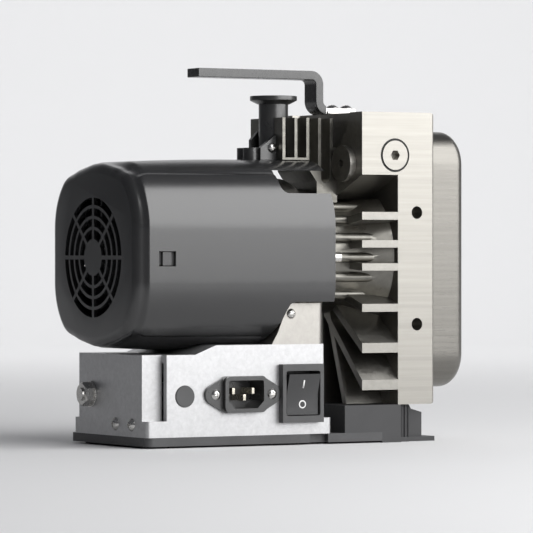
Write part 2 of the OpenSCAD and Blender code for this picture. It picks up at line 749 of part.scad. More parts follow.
module valve_head() placed() color(nickel) difference() {
    union() {
        y_slab(-head_half, head_half) polygon([[head_x0, head_z0], [48.8, head_z0],
            [48.8, 172], [tower_x0, 165], [tower_x0, tower_z0], [block_x0, tower_z0],
            [block_x0, head_z1], [head_x0, head_z1]]);
    }
    both_sides() {
        for (i = [0:1]) block([groove_x[i][0], -head_half - 1, groove_z[i]], [groove_x[i][1], -9.6, 220]);
        for (i = [2:3]) {
            block([groove_x[i][0], -head_half - 1, groove_z[i] + 3.3], [groove_x[i][1], -9.6, 220]);
            y_rod(-head_half - 1, -9.6, (groove_x[i][1] - groove_x[i][0]) / 2,
                (groove_x[i][0] + groove_x[i][1]) / 2, groove_z[i] + 3.4);
        }
        block([65.9, -head_half - 1, 187], [block_x0 + 1, -9.6, 220]);
    }
    block([head_x0 - 1, -9.6, head_floor_z], [45, 9.6, 220]);
    x_rod(44, block_x0 + 1, port_duct_r, port_duct_y, port_duct_z);
    bolt_clearance();
}

module exhaust_valve() placed() color(steel)
    z_rod(valve_z0, valve_z0 + 2.3, 5.7, duct_x, duct_y);

// ---- inlet port ------------------------------------------------------------

module port_flange() placed() color(black) translate([port_x, 0, port_z1]) rotate_extrude()
    polygon([[9.4, -5.2], [10.2, -5.2], [14.6, -3], [port_flange_r, -2.8], [port_flange_r, 0], [9.4, 0]]);

module port_neck() placed() color(black) difference() {
    z_rod(port_foot_z1, port_z1, 9.4, port_x);
    z_rod(port_foot_z1 - 1, port_z1 + 1, port_bore_r, port_x);
}

// Foot of the port: it stands on the head and reaches out over the cowl
module port_foot() placed() color(black) difference() {
    union() {
        block([16, -9.4, head_z0], [28.6, 9.4, port_foot_z1]);
        block([28.5, -9.4, head_floor_z + gap], [44.8, 9.4, port_foot_z1]);
        for (y = [-3.8, 3.8]) z_rod(head_z0, port_foot_z1, 5.6, 15.6, y);
        y_slab(-12.6, -9.4 + eps) polygon([[17, head_z0], [28.6, head_z0],
            [28.6, 195.1], [19.5, 188.1], [17, port_foot_z1]]);
        y_slab(9.4 - eps, 12.6) polygon([[23, head_z0], [28.6, head_z0],
            [28.6, 197.8], [23, 191.9]]);
    }
    z_rod(head_floor_z + 1.2, port_foot_z1 + 1, port_bore_r, port_x);
    x_rod(port_x, 46, port_duct_r, port_duct_y, port_duct_z);
    x_rod(44, 46, port_duct_r + 1, port_duct_y, port_duct_z);
    y_rod(-14, -6, 1.6, port_screw_x, port_foot_z1);
}

module port_screw() placed() color(steel)
    face_front(port_screw_x, -12.6, port_foot_z1) dome_screw(3.2, 2, 1.5, 6);

module port_strainer() placed() color(steel) difference() {
    z_rod(183, 196, port_bore_r - 0.1, port_x);
    z_rod(184, 197, port_bore_r - 1.1, port_x);
    for (z = [186, 190]) {
        block([port_x - 10, -4, z], [port_x + 10, 4, z + 2]);
        block([port_x - 4, -10, z], [port_x + 4, 10, z + 2]);
    }
}

module port_seal() placed() color(black) difference() {
    x_rod(44.05, 44.95, port_duct_r + 0.95, port_duct_y, port_duct_z);
    x_rod(43, 46, port_duct_r, port_duct_y, port_duct_z);
}

// ---- oil case --------------------------------------------------------------

module case_slice(x, inset) x_slab(x, x + 0.2) translate([0, (case_z0 + case_z1) / 2])
    round_rect(2 * (case_half - inset), case_z1 - case_z0 - 2 * inset, 22 - inset * 0.75, $fn = 72);

module case_solid(inset) hull() {
    case_slice(frame_x1 - (inset > 0 ? 1 : 0), inset);
    case_slice(case_x1 - 9 - inset, inset);
    case_slice(case_x1 - 5.6 - inset, 0.7 + inset);
    case_slice(case_x1 - 2.8 - inset, 2.6 + inset);
    case_slice(case_x1 - 1 - inset, 5.2 + inset);
    case_slice(case_x1 - 0.2 - inset, 8.4 + inset);
}

module oil_case() placed() color(nickel) difference() {
    union() {
        difference() {
            case_solid(0);
            case_solid(case_wall);
        }
        for (s = screw_spots) x_rod(frame_x1, case_x1 - 1, 6.4, s[0], s[1]);
    }
    for (s = screw_spots) {
        x_rod(frame_x1 - 1, case_x1 + 1, 2.6, s[0], s[1]);
        x_rod(case_x1 - 5, case_x1 + 1, 4.9, s[0], s[1]);
    }
    x_rod(case_x1 - 6, case_x1 + 1, 11, 0, 92);
    x_rod(case_x1 - 6, case_x1 + 1, 7, 0, 52);
}

module case_screws() placed() color(steel)
    for (s = screw_spots) face_right(case_x1 - 5, s[0], s[1]) cap_screw(4.7, 4.6, 2.5, 40);

module mist_filter() placed() color([0.85, 0.83, 0.78])
    block([frame_x1 + 2, -18, 128], [frame_x1 + 20, 18, 176]);

module sight_glass() placed() color([0.7, 0.8, 0.85]) difference() {
    x_rod(case_x1 - 5, case_x1 - 0.2, 10.9, 0, 92);
    x_rod(case_x1 - 1.4, case_x1 + 1, 8, 0, 92);
}

module drain_plug() placed() color(steel) difference() {
    x_rod(case_x1 - 6, case_x1 - 0.2, 6.9, 0, 52);
    x_rod(case_x1 - 4, case_x1 + 1, 3, 0, 52, $fn = 6);
}

// ---- handle ----------------------------------------------------------------

grip_t = 5.6;
bar_t = 3.6;
leg_x0 = 61.1;
foot_x1 = 92;

module bar_shape() {
    block([handle_x0 + 4, -bar_half, handle_z1 - 4.6], [leg_x0 - 3, bar_half, handle_z1 - 1]);
    block([leg_x0 + 1, -bar_half, frame_z1 + 8], [leg_x0 + 1 + bar_t, bar_half, handle_z1 - 8.6]);
    block([leg_x0 + 9, -bar_half, frame_z1], [foot_x1, bar_half, frame_z1 + bar_t]);
    bar_bend(leg_x0 - 3, handle_z1 - 8.6, 4, 4 + bar_t, 0, bar_half);
    bar_bend(leg_x0 + 9, frame_z1 + 8, 8 - bar_t, 8, 180, bar_half);
}

module handle_bar() placed() color(steel) difference() {
    bar_shape();
    for (x = handle_screw_x) z_rod(frame_z1 - 1, frame_z1 + 6, 1.7, x);
}

// Quarter ring in the x-z plane round (x, z), from radius r0 to r1, width 2 * half
module bar_bend(x, z, r0, r1, turn, half) translate([x, 0, z]) rotate([0, -turn, 0])
    intersection() {
        difference() {
            y_rod(-half, half, r1, 0, 0);
            y_rod(-half - 1, half + 1, r0, 0, 0);
        }
        block([0, -half - 1, 0], [r1 + 1, half + 1, r1 + 1]);
    }

module handle_grip() placed() color(black) difference() {
    union() {
        block([handle_x0, -handle_hw, handle_z1 - grip_t], [leg_x0 - 3, handle_hw, handle_z1]);
        block([leg_x0, -handle_hw, frame_z1 + 8], [leg_x0 + grip_t, handle_hw, handle_z1 - 8.6]);
        bar_bend(leg_x0 - 3, handle_z1 - 8.6, 3, 3 + grip_t, 0, handle_hw);
        bar_bend(leg_x0 + 9, frame_z1 + 8, 3.4, 9, 180, handle_hw);
    }
    bar_shape();
    block([block_x0 - gap, -20, frame_z1 - 2], [block_x0 + 5, 20, frame_z1 + 8]);
}

module handle_screws() placed() color(steel)
    for (x = handle_screw_x) translate([x, 0, frame_z1 + bar_t]) dome_screw(4.2, 2.4, 1.5, 14);

// ---- nodes -----------------------------------------------------------------

base_plate();
rubber_pads();
pump_foot();
power_box();
mains_inlet();
inlet_pins();
inlet_screws();
switch_housing();
switch_rocker();
reset_housing();
reset_button();
ground_bolt();
ground_washer();
end_screws();
run_capacitor();
control_board();
motor_bracket();
bracket_screws();
motor_housing();
stator_core();
stator_windings();
rear_end_shield();
shaft_bearings();
drive_shaft();
motor_rotor();
cooling_fan();
fan_cowl();
cowl_clips();
cowl_pads();
finned_housing();
housing_fins();
housing_bolts();
shaft_seal();
pump_cylinder();
pump_end_plate();
pump_rotor();
front_vane();
rear_vane();
exhaust_valve();
side_frame();
front_plug();
plug_seal();
ballast_knob();
valve_head();
port_flange();
port_neck();
port_foot();
port_screw();
port_strainer();
port_seal();
oil_case();
case_gasket();
case_screws();
mist_filter();
sight_glass();
drain_plug();
handle_bar();
handle_grip();
handle_screws();
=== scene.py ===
"""Looks for a rotary vane vacuum pump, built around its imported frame.

Lengths are metres, and a name that ends in _mm or _MM holds millimetres. Places are
worked out from the frame's node boxes, so the pieces follow the CAD model.
"""
import math

import bmesh
import bpy
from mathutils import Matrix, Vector


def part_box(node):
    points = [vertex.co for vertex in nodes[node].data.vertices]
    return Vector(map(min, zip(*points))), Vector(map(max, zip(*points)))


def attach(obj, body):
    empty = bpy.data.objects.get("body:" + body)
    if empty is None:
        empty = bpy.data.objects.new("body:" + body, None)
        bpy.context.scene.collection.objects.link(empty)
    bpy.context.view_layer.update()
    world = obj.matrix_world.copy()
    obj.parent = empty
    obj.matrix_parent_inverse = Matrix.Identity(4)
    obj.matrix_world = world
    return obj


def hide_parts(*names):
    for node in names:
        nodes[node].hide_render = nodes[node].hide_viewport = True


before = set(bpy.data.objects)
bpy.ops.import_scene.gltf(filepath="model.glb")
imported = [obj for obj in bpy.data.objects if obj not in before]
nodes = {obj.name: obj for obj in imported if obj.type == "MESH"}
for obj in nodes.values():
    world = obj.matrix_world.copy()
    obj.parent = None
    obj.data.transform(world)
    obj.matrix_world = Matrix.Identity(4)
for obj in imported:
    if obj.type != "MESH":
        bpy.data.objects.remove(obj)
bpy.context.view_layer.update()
MM = 0.001


# ---- camera ------------------------------------------------------------------

SENSOR_MM = 36
LENS_MM = 262.7
CAMERA_SHIFT = -0.01876
CAMERA_PLACE = (-1.2509, -2.1329, 0.1176)
CAMERA_TURN = math.radians(-30.4)
CLIP_END = 50
# Direction in which the camera looks, which is level, and straight up
AWAY = Vector((math.sin(-CAMERA_TURN), math.cos(-CAMERA_TURN), 0))
UP = Vector((0, 0, 1))


def make_camera():
    """The viewing angle: level, from the front left, with a long lens."""
    data = bpy.data.cameras.new("camera")
    data.sensor_width = SENSOR_MM
    data.lens = LENS_MM
    data.shift_y = CAMERA_SHIFT
    data.clip_end = CLIP_END
    camera = bpy.data.objects.new("camera", data)
    camera.location = CAMERA_PLACE
    camera.rotation_euler = (math.radians(90), 0, CAMERA_TURN)
    bpy.context.scene.collection.objects.link(camera)
    bpy.context.scene.camera = camera


make_camera()


# ---- materials ---------------------------------------------------------------

# Scale of a wave texture whose bands are each about one unit wide
WAVE_SCALE = 0.5 / math.pi


class Shader:
    """A principled material, with helpers that wire procedural detail into it."""

    def __init__(self, name, color, metallic, roughness, **sockets):
        self.mat = bpy.data.materials.new(name)
        self.mat.use_nodes = True
        self.tree = self.mat.node_tree
        self.bsdf = self.tree.nodes["Principled BSDF"]
        self.place = self.tree.nodes.new("ShaderNodeTexCoord").outputs["Object"]
        self.set("Base Color", (*color, 1))
        self.set("Metallic", metallic)
        self.set("Roughness", roughness)
        self.height = None
        for key, value in sockets.items():
            self.set(key.replace("_", " "), value)

    def set(self, socket, value):
        """Sets one of the shader's own sockets."""
        self.bsdf.inputs[socket].default_value = value

    def node(self, kind, **inputs):
        """A new node, with some of its inputs set."""
        made = self.tree.nodes.new(kind)
        for key, value in inputs.items():
            made.inputs[key].default_value = value
        return made

    def link(self, out, socket):
        """Links an output to a socket."""
        self.tree.links.new(out, socket)
        return self

    def noise(self, size_mm, detail, rough=0.55, stretch=(1, 1, 1), distortion=0.0):
        """Noise with features of about size_mm, drawn out along an axis by stretch."""
        mapping = self.tree.nodes.new("ShaderNodeMapping")
        mapping.inputs["Scale"].default_value = [1 / s for s in stretch]
        self.link(self.place, mapping.inputs["Vector"])
        made = self.node("ShaderNodeTexNoise", Scale=1 / (size_mm * MM), Detail=detail,
                         Roughness=rough, Distortion=distortion)
        self.link(mapping.outputs["Vector"], made.inputs["Vector"])
        return made.outputs["Fac"]

    def cells(self, size_mm):
        """Small rounded cells, as on blasted metal."""
        made = self.node("ShaderNodeTexVoronoi", Scale=1 / (size_mm * MM))
        made.feature = "SMOOTH_F1"
        self.link(self.place, made.inputs["Vector"])
        return made.outputs["Distance"]

    def waves(self, size_mm, axis="X", distortion=0.0):
        """Light and dark bands across an axis, each about size_mm wide."""
        made = self.node("ShaderNodeTexWave", Scale=WAVE_SCALE / (size_mm * MM),
                         Distortion=distortion)
        made.bands_direction = axis
        self.link(self.place, made.inputs["Vector"])
        return made.outputs["Fac"]

    def spread(self, fac, low, high, from_low=0.3, from_high=0.7):
        """fac, stretched so that from_low..from_high covers low..high."""
        limits = {"From Min": from_low, "From Max": from_high, "To Min": low, "To Max": high}
        made = self.node("ShaderNodeMapRange", **limits)
        self.link(fac, made.inputs["Value"])
        return made.outputs["Result"]

    def blend(self, fac, color_a, color_b):
        """A colour from color_a at 0 to color_b at 1; either may be an output."""
        made = self.tree.nodes.new("ShaderNodeMix")
        made.data_type = "RGBA"
        self.link(fac, made.inputs["Factor"])
        for value, socket in ((color_a, made.inputs["A"]), (color_b, made.inputs["B"])):
            if isinstance(value, tuple):
                socket.default_value = (*value, 1)
            else:
                self.link(value, socket)
        return made.outputs["Result"]

    def color(self, out):
        """Links an output to the base colour."""
        return self.link(out, self.bsdf.inputs["Base Color"])

    def roughness(self, out):
        """Links an output to the roughness."""
        return self.link(out, self.bsdf.inputs["Roughness"])

    def bump(self, fac, depth_mm):
        """Adds surface relief of depth_mm; later calls lie on top of earlier ones."""
        made = self.node("ShaderNodeBump", Strength=1.0, Distance=depth_mm * MM)
        self.link(fac, made.inputs["Height"])
        if self.height is not None:
            self.link(self.height, made.inputs["Normal"])
        self.height = made.outputs["Normal"]
        return self.link(self.height, self.bsdf.inputs["Normal"])


def scaled(color, k):
    """A colour made k times as bright."""
    return tuple(c * k for c in color)


def plastic(name, color, roughness, grain_mm=0.55, relief_mm=0.02, drift=0.12, **sockets):
    """Moulded plastic: fine spark-eroded grain and a faint drift in colour and gloss."""
    s = Shader(name, color, 0.0, roughness, **sockets)
    cloud = s.spread(s.noise(22, 3), 0, 1)
    s.color(s.blend(cloud, scaled(color, 1 - drift), scaled(color, 1 + drift)))
    s.roughness(s.spread(s.noise(3.0, 4), roughness - drift * 0.3, roughness + drift * 0.4))
    s.bump(s.noise(grain_mm, 2), relief_mm)
    return s.mat


def cast_metal(name, color, roughness, cloud_mm, contrast):
    """Die-cast and blasted metal: cloudy mottling and a fine pebbled skin."""
    s = Shader(name, color, 1.0, roughness)
    cloud = s.spread(s.noise(cloud_mm, 6, 0.7, distortion=0.4), 0, 1, 0.32, 0.68)
    s.color(s.blend(cloud, scaled(color, 1 - contrast), scaled(color, 1 + contrast * 0.6)))
    s.roughness(s.spread(s.noise(cloud_mm * 0.6, 5), roughness - 0.07, roughness + 0.09))
    s.bump(s.cells(0.9), 0.012)
    s.bump(s.noise(0.45, 3), 0.012)
    return s.mat


def brushed_metal(name, color, along, roughness=0.36, streak=60):
    """Metal brushed along an axis: long fine streaks in colour, gloss and relief."""
    stretch = [streak if axis == along else 1 for axis in "XYZ"]
    s = Shader(name, color, 1.0, roughness)
    fine = s.noise(0.28, 4, 0.6, stretch)
    broad = s.noise(2.4, 3, 0.5, stretch)
    s.color(s.blend(s.spread(broad, 0, 1), scaled(color, 0.93), scaled(color, 1.07)))
    s.roughness(s.spread(fine, roughness - 0.08, roughness + 0.1))
    s.bump(fine, 0.006)
    return s.mat


def turned_steel(name, color=(0.6, 0.59, 0.57), roughness=0.2):
    """Bright plated or turned steel with faint handling marks."""
    s = Shader(name, color, 1.0, roughness)
    marks = s.noise(1.6, 5, 0.65)
    s.color(s.blend(s.spread(marks, 0, 1), scaled(color, 0.88), scaled(color, 1.06)))
    s.roughness(s.spread(s.noise(0.9, 4), roughness - 0.06, roughness + 0.12))
    s.bump(s.noise(0.5, 2), 0.004)
    return s.mat


def powder_coat(name, color):
    """Powder-coated steel: soft orange peel and a slight drift in tone."""
    s = Shader(name, color, 0.0, 0.5, Coat_Weight=0.08)
    s.color(s.blend(s.spread(s.noise(14, 4), 0, 1), scaled(color, 0.88), scaled(color, 1.12)))
    s.roughness(s.spread(s.noise(1.5, 3), 0.44, 0.58))
    s.bump(s.noise(1.1, 2), 0.02)
    return s.mat


def soft_rubber(name, color):
    """Dull moulded rubber with a faint bloom."""
    s = Shader(name, color, 0.0, 0.7)
    s.color(s.blend(s.spread(s.noise(6, 4), 0, 1), scaled(color, 0.8), scaled(color, 1.6)))
    s.roughness(s.spread(s.noise(1.0, 3), 0.62, 0.8))
    s.bump(s.noise(0.5, 3), 0.02)
    return s.mat


def laminations(name):
    """Stacked sheet steel, seen edge on along X."""
    s = Shader(name, (0.2, 0.2, 0.22), 0.9, 0.45)
    stripes = s.waves(0.5)
    s.color(s.blend(stripes, (0.1, 0.1, 0.11), (0.26, 0.26, 0.28)))
    s.roughness(s.spread(s.noise(0.8, 3), 0.38, 0.56))
    s.bump(stripes, 0.03)
    return s.mat


def copper_wire(name):
    """Varnished windings: wires laid side by side round the shaft's axis."""
    s = Shader(name, (0.55, 0.2, 0.06), 0.8, 0.32, Coat_Weight=0.4)
    wires = s.waves(0.7, "Y", 2.5)
    s.color(s.blend(wires, (0.32, 0.11, 0.03), (0.72, 0.3, 0.1)))
    s.roughness(s.spread(s.noise(0.8, 3), 0.25, 0.42))
    s.bump(wires, 0.2)
    return s.mat


def circuit_board(name):
    """Green solder mask over faint tracks."""
    s = Shader(name, (0.01, 0.09, 0.04), 0.0, 0.35)
    tracks = s.noise(2.0, 2)
    s.color(s.blend(s.spread(tracks, 0, 1, 0.45, 0.55), (0.01, 0.07, 0.03), (0.02, 0.14, 0.06)))
    s.roughness(s.spread(s.noise(1.2, 3), 0.28, 0.45))
    s.bump(tracks, 0.03)
    return s.mat


def fleece(name):
    """Filter fleece: tangled pale fibres."""
    s = Shader(name, (0.7, 0.67, 0.6), 0.0, 0.95, Sheen_Weight=0.4)
    fibres = s.noise(0.5, 6, 0.8, (1, 6, 1), 1.5)
    s.color(s.blend(fibres, (0.5, 0.47, 0.4), (0.82, 0.8, 0.74)))
    s.roughness(s.spread(fibres, 0.85, 1.0))
    s.bump(fibres, 0.4)
    return s.mat


def glass(name):
    """Clear glass, very slightly uneven."""
    s = Shader(name, (0.9, 0.95, 0.93), 0.0, 0.04, Transmission_Weight=1.0, IOR=1.5)
    s.roughness(s.spread(s.noise(4, 3), 0.02, 0.07))
    s.bump(s.noise(5, 2), 0.01)
    return s.mat


def white_paint(name, color):
    """Printed paint, a little worn."""
    s = Shader(name, color, 0.0, 0.45)
    s.color(s.blend(s.spread(s.noise(0.8, 4), 0, 1), scaled(color, 0.9), color))
    s.roughness(s.spread(s.noise(0.6, 3), 0.4, 0.55))
    s.bump(s.noise(0.3, 2), 0.006)
    return s.mat


# Warm grey of the machined frame, and how much darker the oil case is
WARM = (0.33, 0.318, 0.292)
CASE_TONE = 0.62
MATERIALS = {
    "charcoal": plastic("charcoal_satin", (0.018, 0.018, 0.0185), 0.24, 0.5, 0.002, 0.05,
                        Specular_IOR_Level=0.95),
    "black": plastic("black_plastic", (0.022, 0.022, 0.022), 0.3, 0.6, 0.006,
                     Specular_IOR_Level=1.0),
    "grip": plastic("grip_plastic", (0.014, 0.014, 0.0145), 0.25, 0.5, 0.004,
                    Specular_IOR_Level=0.85),
    "grey": plastic("grey_plastic", (0.06, 0.06, 0.061), 0.42, 0.6, 0.012),
    "foot": plastic("foot_plastic", (0.034, 0.034, 0.0355), 0.46, 0.8, 0.02),
    "rocker": plastic("rocker_plastic", (0.02, 0.02, 0.021), 0.2, 0.8, 0.004,
                      Specular_IOR_Level=1.0),
    "fan": plastic("fan_plastic", (0.022, 0.022, 0.023), 0.45),
    "carbon": plastic("vane_carbon", (0.02, 0.02, 0.02), 0.5, 0.3, 0.01),
    "coat": powder_coat("base_coat", (0.054, 0.054, 0.056)),
    "zinc": cast_metal("die_cast_zinc", (0.52, 0.52, 0.525), 0.42, 3.2, 0.1),
    "motor": cast_metal("motor_casting", (0.4, 0.385, 0.36), 0.36, 4.0, 0.08),
    # Darker than the fin metal: the cast tone with painted shade of the recesses between the
    # fins
    "housing": cast_metal("fin_casting_painted_shade", (0.19, 0.184, 0.166), 0.34, 5.0, 0.12),
    "fins": cast_metal("machined_fins", (0.31, 0.3, 0.276), 0.36, 4.0, 0.08),
    "frame": brushed_metal("brushed_frame", WARM, "X"),
    "case": brushed_metal("brushed_case", scaled(WARM, CASE_TONE), "X", 0.32),
    "steel": turned_steel("bright_steel"),
    "ground": brushed_metal("ground_steel", (0.6, 0.6, 0.6), "X", 0.24, 20),
    "contact": turned_steel("contact_plating", (0.72, 0.68, 0.58), 0.25),
    "rubber": soft_rubber("seal_rubber", (0.02, 0.02, 0.02)),
    "laminations": laminations("sheet_stack"),
    "copper": copper_wire("copper_wire"),
    "board": circuit_board("board_green"),
    "fleece": fleece("filter_fleece"),
    "glass": glass("clear_glass"),
    "mark": white_paint("mark_paint", (0.75, 0.75, 0.74)),
}


# ---- finish of the CAD nodes -------------------------------------------------

# node: material and width of its rounded edges in millimetres
FINISH = {
    "base_plate": ("coat", 0.5), "rubber_pads": ("rubber", 0.3), "pump_foot": ("foot", 0.5),
    "power_box": ("zinc", 0.45), "mains_inlet": ("black", 0.5), "inlet_pins": ("contact", 0.3),
    "inlet_screws": ("steel", 0.15), "switch_housing": ("grey", 0.4),
    "switch_rocker": ("rocker", 0.4), "reset_housing": ("black", 0.25),
    "reset_button": ("grey", 0.5), "ground_bolt": ("steel", 0.3),
    "ground_washer": ("steel", 0.2), "end_screws": ("steel", 0.15),
    "run_capacitor": ("black", 0.8), "control_board": ("board", 0.2),
    "motor_bracket": ("motor", 0.5), "bracket_screws": ("steel", 0.15),
    "motor_housing": ("motor", 0.5), "stator_core": ("laminations", 0.2),
    "stator_windings": ("copper", 2.5), "rear_end_shield": ("motor", 0.6),
    "shaft_bearings": ("ground", 0.3), "drive_shaft": ("ground", 0.4),
    "motor_rotor": ("laminations", 0.4), "cooling_fan": ("fan", 0.3),
    "fan_cowl": ("charcoal", 0.4), "cowl_clips": ("grey", 0.3), "cowl_pads": ("rubber", 0.4),
    "finned_housing": ("housing", 0.4), "housing_fins": ("fins", 0.4),
    "housing_bolts": ("steel", 0.3),
    "shaft_seal": ("rubber", 0.3), "pump_cylinder": ("ground", 0.3),
    "pump_end_plate": ("ground", 0.3), "pump_rotor": ("ground", 0.2),
    "front_vane": ("carbon", 0.15), "rear_vane": ("carbon", 0.15),
    "exhaust_valve": ("ground", 0.2), "side_frame": ("frame", 0.5),
    "front_plug": ("frame", 0.35), "plug_seal": ("rubber", 0.3),
    "ballast_knob": ("frame", 0.5), "valve_head": ("housing", 0.4),
    "port_flange": ("black", 0.3), "port_neck": ("black", 0.3), "port_foot": ("black", 0.5),
    "port_screw": ("steel", 0.12), "port_strainer": ("ground", 0.15),
    "port_seal": ("rubber", 0.15),
    "oil_case": ("case", 0.5), "case_gasket": ("rubber", 0.2), "case_screws": ("steel", 0.3),
    "mist_filter": ("fleece", 1.5), "sight_glass": ("glass", 0.3),
    "drain_plug": ("steel", 0.3), "handle_bar": ("steel", 0.3),
    "handle_grip": ("grip", 2.0), "handle_screws": ("steel", 0.15),
}
SHARP_ANGLE = math.radians(32)
EDGE_SEGMENTS = 2
WELD_MM = 0.004
FLAT_FACE_WEIGHT = 60


def round_sharp_edges(obj, width_mm):
    """Adds a bevel to the edges that are sharper than SHARP_ANGLE."""
    bevel = obj.modifiers.new("round_edges", "BEVEL")
    bevel.width = width_mm * MM
    bevel.segments = EDGE_SEGMENTS
    bevel.limit_method = "ANGLE"
    bevel.angle_limit = SHARP_ANGLE
    return bevel


def finish_node(obj, width_mm):
    """Joins split corners, rounds the sharp edges and keeps flat faces flat."""
    weld = obj.modifiers.new("weld", "WELD")
    weld.merge_threshold = WELD_MM * MM
    bevel = round_sharp_edges(obj, width_mm)
    bevel.use_clamp_overlap = True
    bevel.miter_outer = "MITER_ARC"
    normals = obj.modifiers.new("flat_faces", "WEIGHTED_NORMAL")
    normals.keep_sharp = False
    normals.weight = FLAT_FACE_WEIGHT
    obj.data.shade_smooth()


def give(obj, material):
    """Makes a named material the only one on an object."""
    obj.data.materials.clear()
    obj.data.materials.append(MATERIALS[material])


for name, node in nodes.items():
    material, width_mm = FINISH[name]
    give(node, material)
    finish_node(node, width_mm)


# ---- mesh helpers ------------------------------------------------------------

def middle(box, axis):
    """Middle of a box along an axis, 0 to 2."""
    return (box[0][axis] + box[1][axis]) / 2


def smooth_step(low, high, value):
    """0 below low and 1 above high, with a smooth rise between them."""
    t = min(1.0, max(0.0, (value - low) / (high - low)))
    return t * t * (3 - 2 * t)


def piece(name, bm, material, body, replaces=()):
    """Turns a bmesh into a piece that rides on a body."""
    bmesh.ops.recalc_face_normals(bm, faces=bm.faces)
    mesh = bpy.data.meshes.new(name)
    bm.to_mesh(mesh)
    bm.free()
    obj = bpy.data.objects.new(name, mesh)
    bpy.context.scene.collection.objects.link(obj)
    give(obj, material)
    mesh.shade_smooth()
    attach(obj, body)
    if replaces:
        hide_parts(*replaces)
    return obj


def skin_rows(bm, rows, closed=True):
    """Quads between neighbouring rows of vertices of the same length."""
    for a, b in zip(rows, rows[1:]):
        count = len(a)
        for i in range(count if closed else count - 1):
            j = (i + 1) % count
            bm.faces.new((a[i], a[j], b[j], b[i]))


class Outline:
    """A rounded rectangle in the y-z plane, as points with normals and arc lengths.

    The arc length s is measured from the middle of the nearer upright side, so it is
    the same on the front and the back. It grows upwards and falls below zero downwards.
    """

    def __init__(self, half_y, half_z, corner, step, fine_step=None, fine_zone=(0, 0)):
        """Points lie a step apart, or a fine_step where s is inside fine_zone."""
        self.points = []
        flat_y, flat_z = half_y - corner, half_z - corner
        quarter = flat_z + corner * math.pi / 2 + flat_y
        stops, s = [], 0.0
        while s < quarter - 1e-9:
            stops.append(s)
            fine = fine_step and fine_zone[0] <= s < fine_zone[1]
            s += fine_step if fine else step
        for sign_y, sign_z in ((-1, 1), (1, 1), (1, -1), (-1, -1)):
            run = [self.spot(t, flat_y, flat_z, corner, sign_y, sign_z) for t in stops]
            tail = self.spot(quarter, flat_y, flat_z, corner, sign_y, sign_z)
            if sign_y * sign_z < 0:
                self.points += run
            else:
                self.points += [tail] + run[:0:-1]

    @staticmethod
    def spot(s, flat_y, flat_z, corner, sign_y, sign_z):
        """The point at arc length s in one quarter: y, z, its normal, and s with a sign."""
        bend = corner * math.pi / 2
        if s <= flat_z:
            y, z, turn = flat_y + corner, s, 0.0
        elif s <= flat_z + bend:
            turn = (s - flat_z) / corner
            y, z = flat_y + corner * math.cos(turn), flat_z + corner * math.sin(turn)
        else:
            y, z, turn = flat_y - (s - flat_z - bend), flat_z + corner, math.pi / 2
        return (sign_y * y, sign_z * z, sign_y * math.cos(turn), sign_z * math.sin(turn),
                sign_z * s)

    def ring(self, bm, x, middle_z, inset):
        """Vertices of the outline at station x; inset is a number or a function of s."""
        made = []
        for y, z, ny, nz, s in self.points:
            back = inset(s) if callable(inset) else inset
            made.append(bm.verts.new((x, y - ny * back, middle_z + z - nz * back)))
        return made


def shell(outline, middle_z, outer, inner):
    """A cup: outer and inner are (x, inset) rows that run from its rim to its end."""
    bm = bmesh.new()
    skins = [[outline.ring(bm, x, middle_z, inset) for x, inset in rows]
             for rows in (outer, inner)]
    for rows in skins:
        skin_rows(bm, rows)
        bm.faces.new(rows[-1])
    skin_rows(bm, [skins[0][0], skins[1][0]])
    bmesh.ops.recalc_face_normals(bm, faces=bm.faces)
    return bm


def prism(bm, points, axis, low, high):
    """A closed prism of an outline, drawn along the named axis from low to high."""
    index = "xyz".index(axis)

    def corner(point, depth):
        place = list(point)
        place.insert(index, depth)
        return bm.verts.new(place)

    rows = [[corner(p, depth) for p in points] for depth in (low, high)]
    skin_rows(bm, rows)
    for row in rows:
        bm.faces.new(row)


def circle_points(centre, radius, count, start=0.0, sweep=None):
    """Points on a circle or, with a sweep, on an arc that keeps both of its ends."""
    if sweep is None:
        turns = [start + 2 * math.pi * i / count for i in range(count)]
    else:
        turns = [start + sweep * i / (count - 1) for i in range(count)]
    return [(centre[0] + radius * math.cos(t), centre[1] + radius * math.sin(t)) for t in turns]


def cut(obj, cutters):
    """Cuts closed meshes out of a piece, one boolean for each bmesh."""
    for bm in cutters:
        bmesh.ops.recalc_face_normals(bm, faces=bm.faces)
        mesh = bpy.data.meshes.new("cutter")
        bm.to_mesh(mesh)
        bm.free()
        tool = bpy.data.objects.new("cutter", mesh)
        bpy.context.scene.collection.objects.link(tool)
        boolean = obj.modifiers.new("cut", "BOOLEAN")
        boolean.operation = "DIFFERENCE"
        boolean.solver = "EXACT"
        boolean.object = tool
        graph = bpy.context.evaluated_depsgraph_get()
        result = bpy.data.meshes.new_from_object(obj.evaluated_get(graph))
        obj.modifiers.remove(boolean)
        old, obj.data = obj.data, result
        bpy.data.meshes.remove(old)
        bpy.data.objects.remove(tool)
        bpy.data.meshes.remove(mesh)
    obj.data.set_sharp_from_angle(angle=SHARP_ANGLE)


def soften(obj, width_mm):
    """Rounds a cut piece's sharp edges."""
    round_sharp_edges(obj, width_mm).harden_normals = True


# ---- fan cowl ----------------------------------------------------------------

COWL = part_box("fan_cowl")
# Height of the shaft, to a tenth of a millimetre
SHAFT_Z = round(middle(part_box("drive_shaft"), 2), 4)
COWL_CORNER = 43 * MM
COWL_EDGE_MM = 0.35
# Spacing of the outline's points, finer where the crease crosses them
COWL_STEP = 2.7 * MM
COWL_FINE_STEP = 0.6 * MM
COWL_FINE_HALF_MM = 5
# Nose of the cowl: distance from the left end and how far the outline stands back
NOSE_MM = [(0, 8.5), (0.15, 7.4), (0.5, 6.2), (1.0, 5.2), (1.6, 4.4), (2.3, 3.7), (3.0, 3.2),
           (3.8, 2.85), (4.4, 2.6)]
# Behind the nose: up to each distance from the left end, how far the stations are apart
STATIONS_MM = [(13, 0.45), (20, 1.0), (math.inf, 5.0)]
